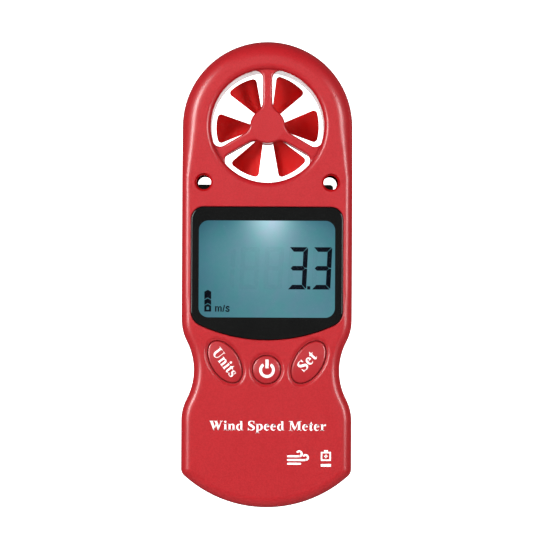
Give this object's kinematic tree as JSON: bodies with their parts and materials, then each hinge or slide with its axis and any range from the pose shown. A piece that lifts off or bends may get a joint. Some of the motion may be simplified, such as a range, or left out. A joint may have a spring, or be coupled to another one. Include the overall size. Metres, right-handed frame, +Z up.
{
  "type": "vane anemometer",
  "caption": "Hand-held wind speed meter: waisted flat case, shrouded vane impeller in the head, backlit display, press keys and a sliding battery door.",
  "frame": {"origin": "on the flat back of the case, on its centreline, at the height of the waist where the instrument is held", "axes": "+Z up the case towards the impeller head, +Y out of the flat back (the display faces -Y), +X to the right seen from the front"},
  "size_m": [0.0548, 0.0224, 0.15],
  "materials": {
    "case_red": "satin moulded ABS, fine texture",
    "key_red": "glossy moulded ABS",
    "impeller_red": "glossy moulded plastic",
    "lens_clear": "clear acrylic with a black border",
    "lcd_glass": "liquid crystal panel, teal backlight",
    "light_guide": "milky acrylic",
    "white_plastic": "moulded white plastic",
    "black_foam": "closed-cell foam",
    "black_board": "black solder mask",
    "black_epoxy": "moulded epoxy",
    "component_tan": "ceramic chip",
    "elastomer": "striped silicone",
    "steel": "plated steel",
    "brass": "turned brass",
    "magnet": "nickel-plated magnet"
  },
  "bodies": {
    "case": {"front_shell": "case_red", "rear_shell": "case_red", "display_lens": "lens_clear", "lcd_gasket": "black_foam", "lcd_panel": "lcd_glass", "light_guide": "light_guide", "backlight_led": "white_plastic", "lcd_holder": "white_plastic", "elastomer_connector": "elastomer", "main_pcb": "black_board", "controller_chip": "black_epoxy", "crystal": "steel", "hall_sensor": "black_epoxy", "thermistor": "black_epoxy", "chip_capacitors": "component_tan", "tact_switches": "black_epoxy", "front_bearing": "brass", "rear_bearing": "brass", "coin_cell": "steel", "battery_contact_neg": "steel", "battery_contact_pos": "steel", "case_screws": "steel", "pcb_screws": "steel"},
    "impeller_body": {"impeller": "impeller_red", "impeller_magnet": "magnet", "impeller_shaft": "steel"},
    "units_key": {"units_button": "key_red", "units_plunger": "white_plastic"},
    "power_key": {"power_button": "key_red", "power_plunger": "white_plastic"},
    "set_key": {"set_button": "key_red", "set_plunger": "white_plastic"},
    "door": {"battery_door": "case_red"}
  },
  "joints": [
    {"name": "impeller_spin", "type": "hinge", "parent": "case", "child": "impeller_body", "pos_m": [0, -0.011, 0.0786], "axis": [0, 1, 0], "continuous": true},
    {"name": "units_press", "type": "slide", "parent": "case", "child": "units_key", "axis": [0, 1, 0], "range_m": [0, 0.0004], "stiffness_N_per_m": 2000, "springref_m": -0.0002},
    {"name": "power_press", "type": "slide", "parent": "case", "child": "power_key", "axis": [0, 1, 0], "range_m": [0, 0.0004], "stiffness_N_per_m": 2000, "springref_m": -0.0002},
    {"name": "set_press", "type": "slide", "parent": "case", "child": "set_key", "axis": [0, 1, 0], "range_m": [0, 0.0004], "stiffness_N_per_m": 2000, "springref_m": -0.0002},
    {"name": "door_slide", "type": "slide", "parent": "case", "child": "door", "axis": [0, 0, -1], "range_m": [0, 0.036]}
  ]
}
